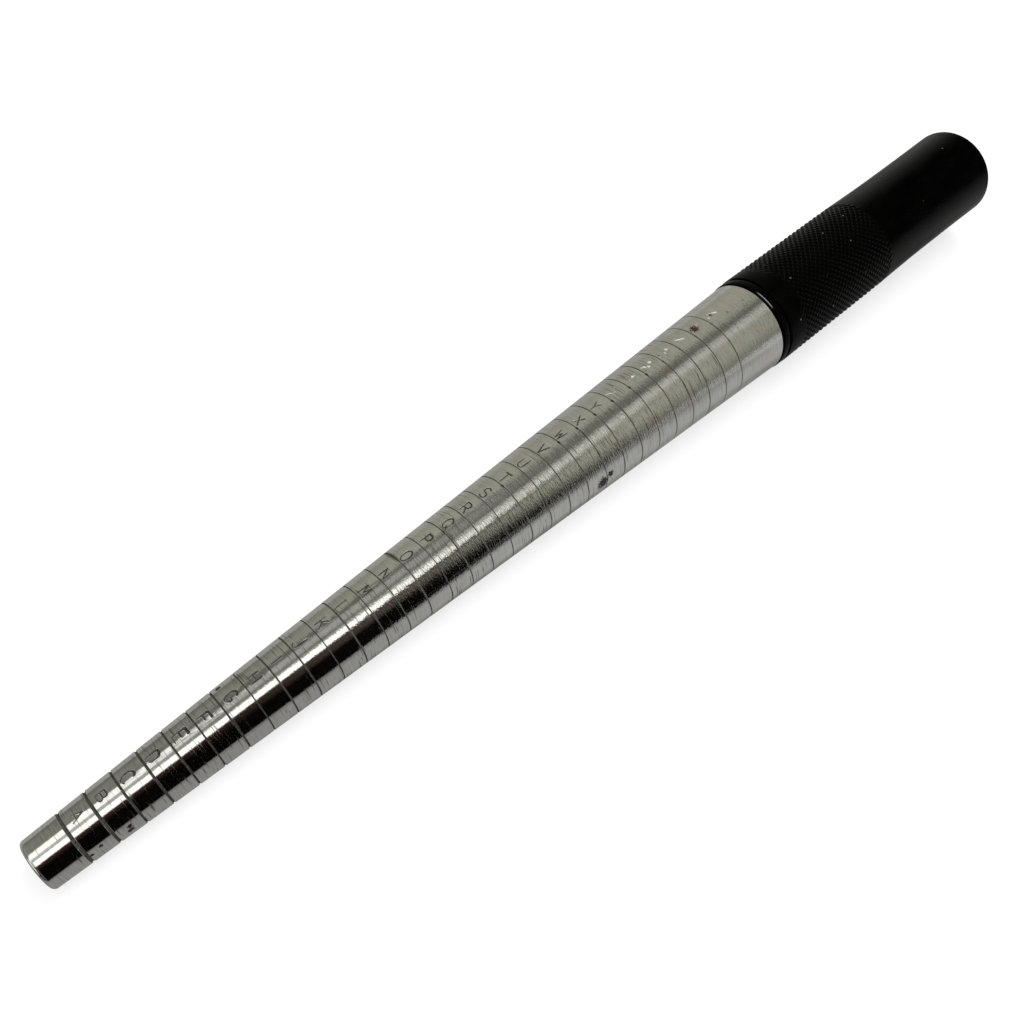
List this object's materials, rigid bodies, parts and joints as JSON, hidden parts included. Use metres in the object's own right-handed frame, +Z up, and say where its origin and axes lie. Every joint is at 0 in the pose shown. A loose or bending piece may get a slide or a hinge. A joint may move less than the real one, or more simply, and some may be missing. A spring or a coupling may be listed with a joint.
{
  "type": "ring mandrel",
  "caption": "Tapered metal gauge stick with a groove and a stamped character for each ring size, in a black knurled handle, lying on its side.",
  "frame": {"origin": "on the bench, under the middle of the object's box", "axes": "+X from the tip towards the end of the handle, +Z up; the tool's own axis lies in the XZ plane and climbs 2 degrees towards the handle, because the tool lies on its tip and on the front of its handle"},
  "size_m": [0.3012, 0.026, 0.0288],
  "materials": {
    "stick_metal": "turned and polished, mirror-bright towards the tip and finely brushed towards the handle",
    "ring_rubber": "smooth, slightly glossy",
    "handle_black": "satin black anodised, diamond knurled towards the front",
    "screw_steel": "dark oiled steel",
    "washer_steel": "dull plated steel",
    "plug_plastic": "matte moulded"
  },
  "bodies": {
    "root": {"tapered_stick": "stick_metal", "joint_ring": "ring_rubber", "handle": "handle_black", "draw_screw": "screw_steel", "plain_washer": "washer_steel", "spring_washer": "washer_steel", "end_plug": "plug_plastic"}
  },
  "joints": []
}
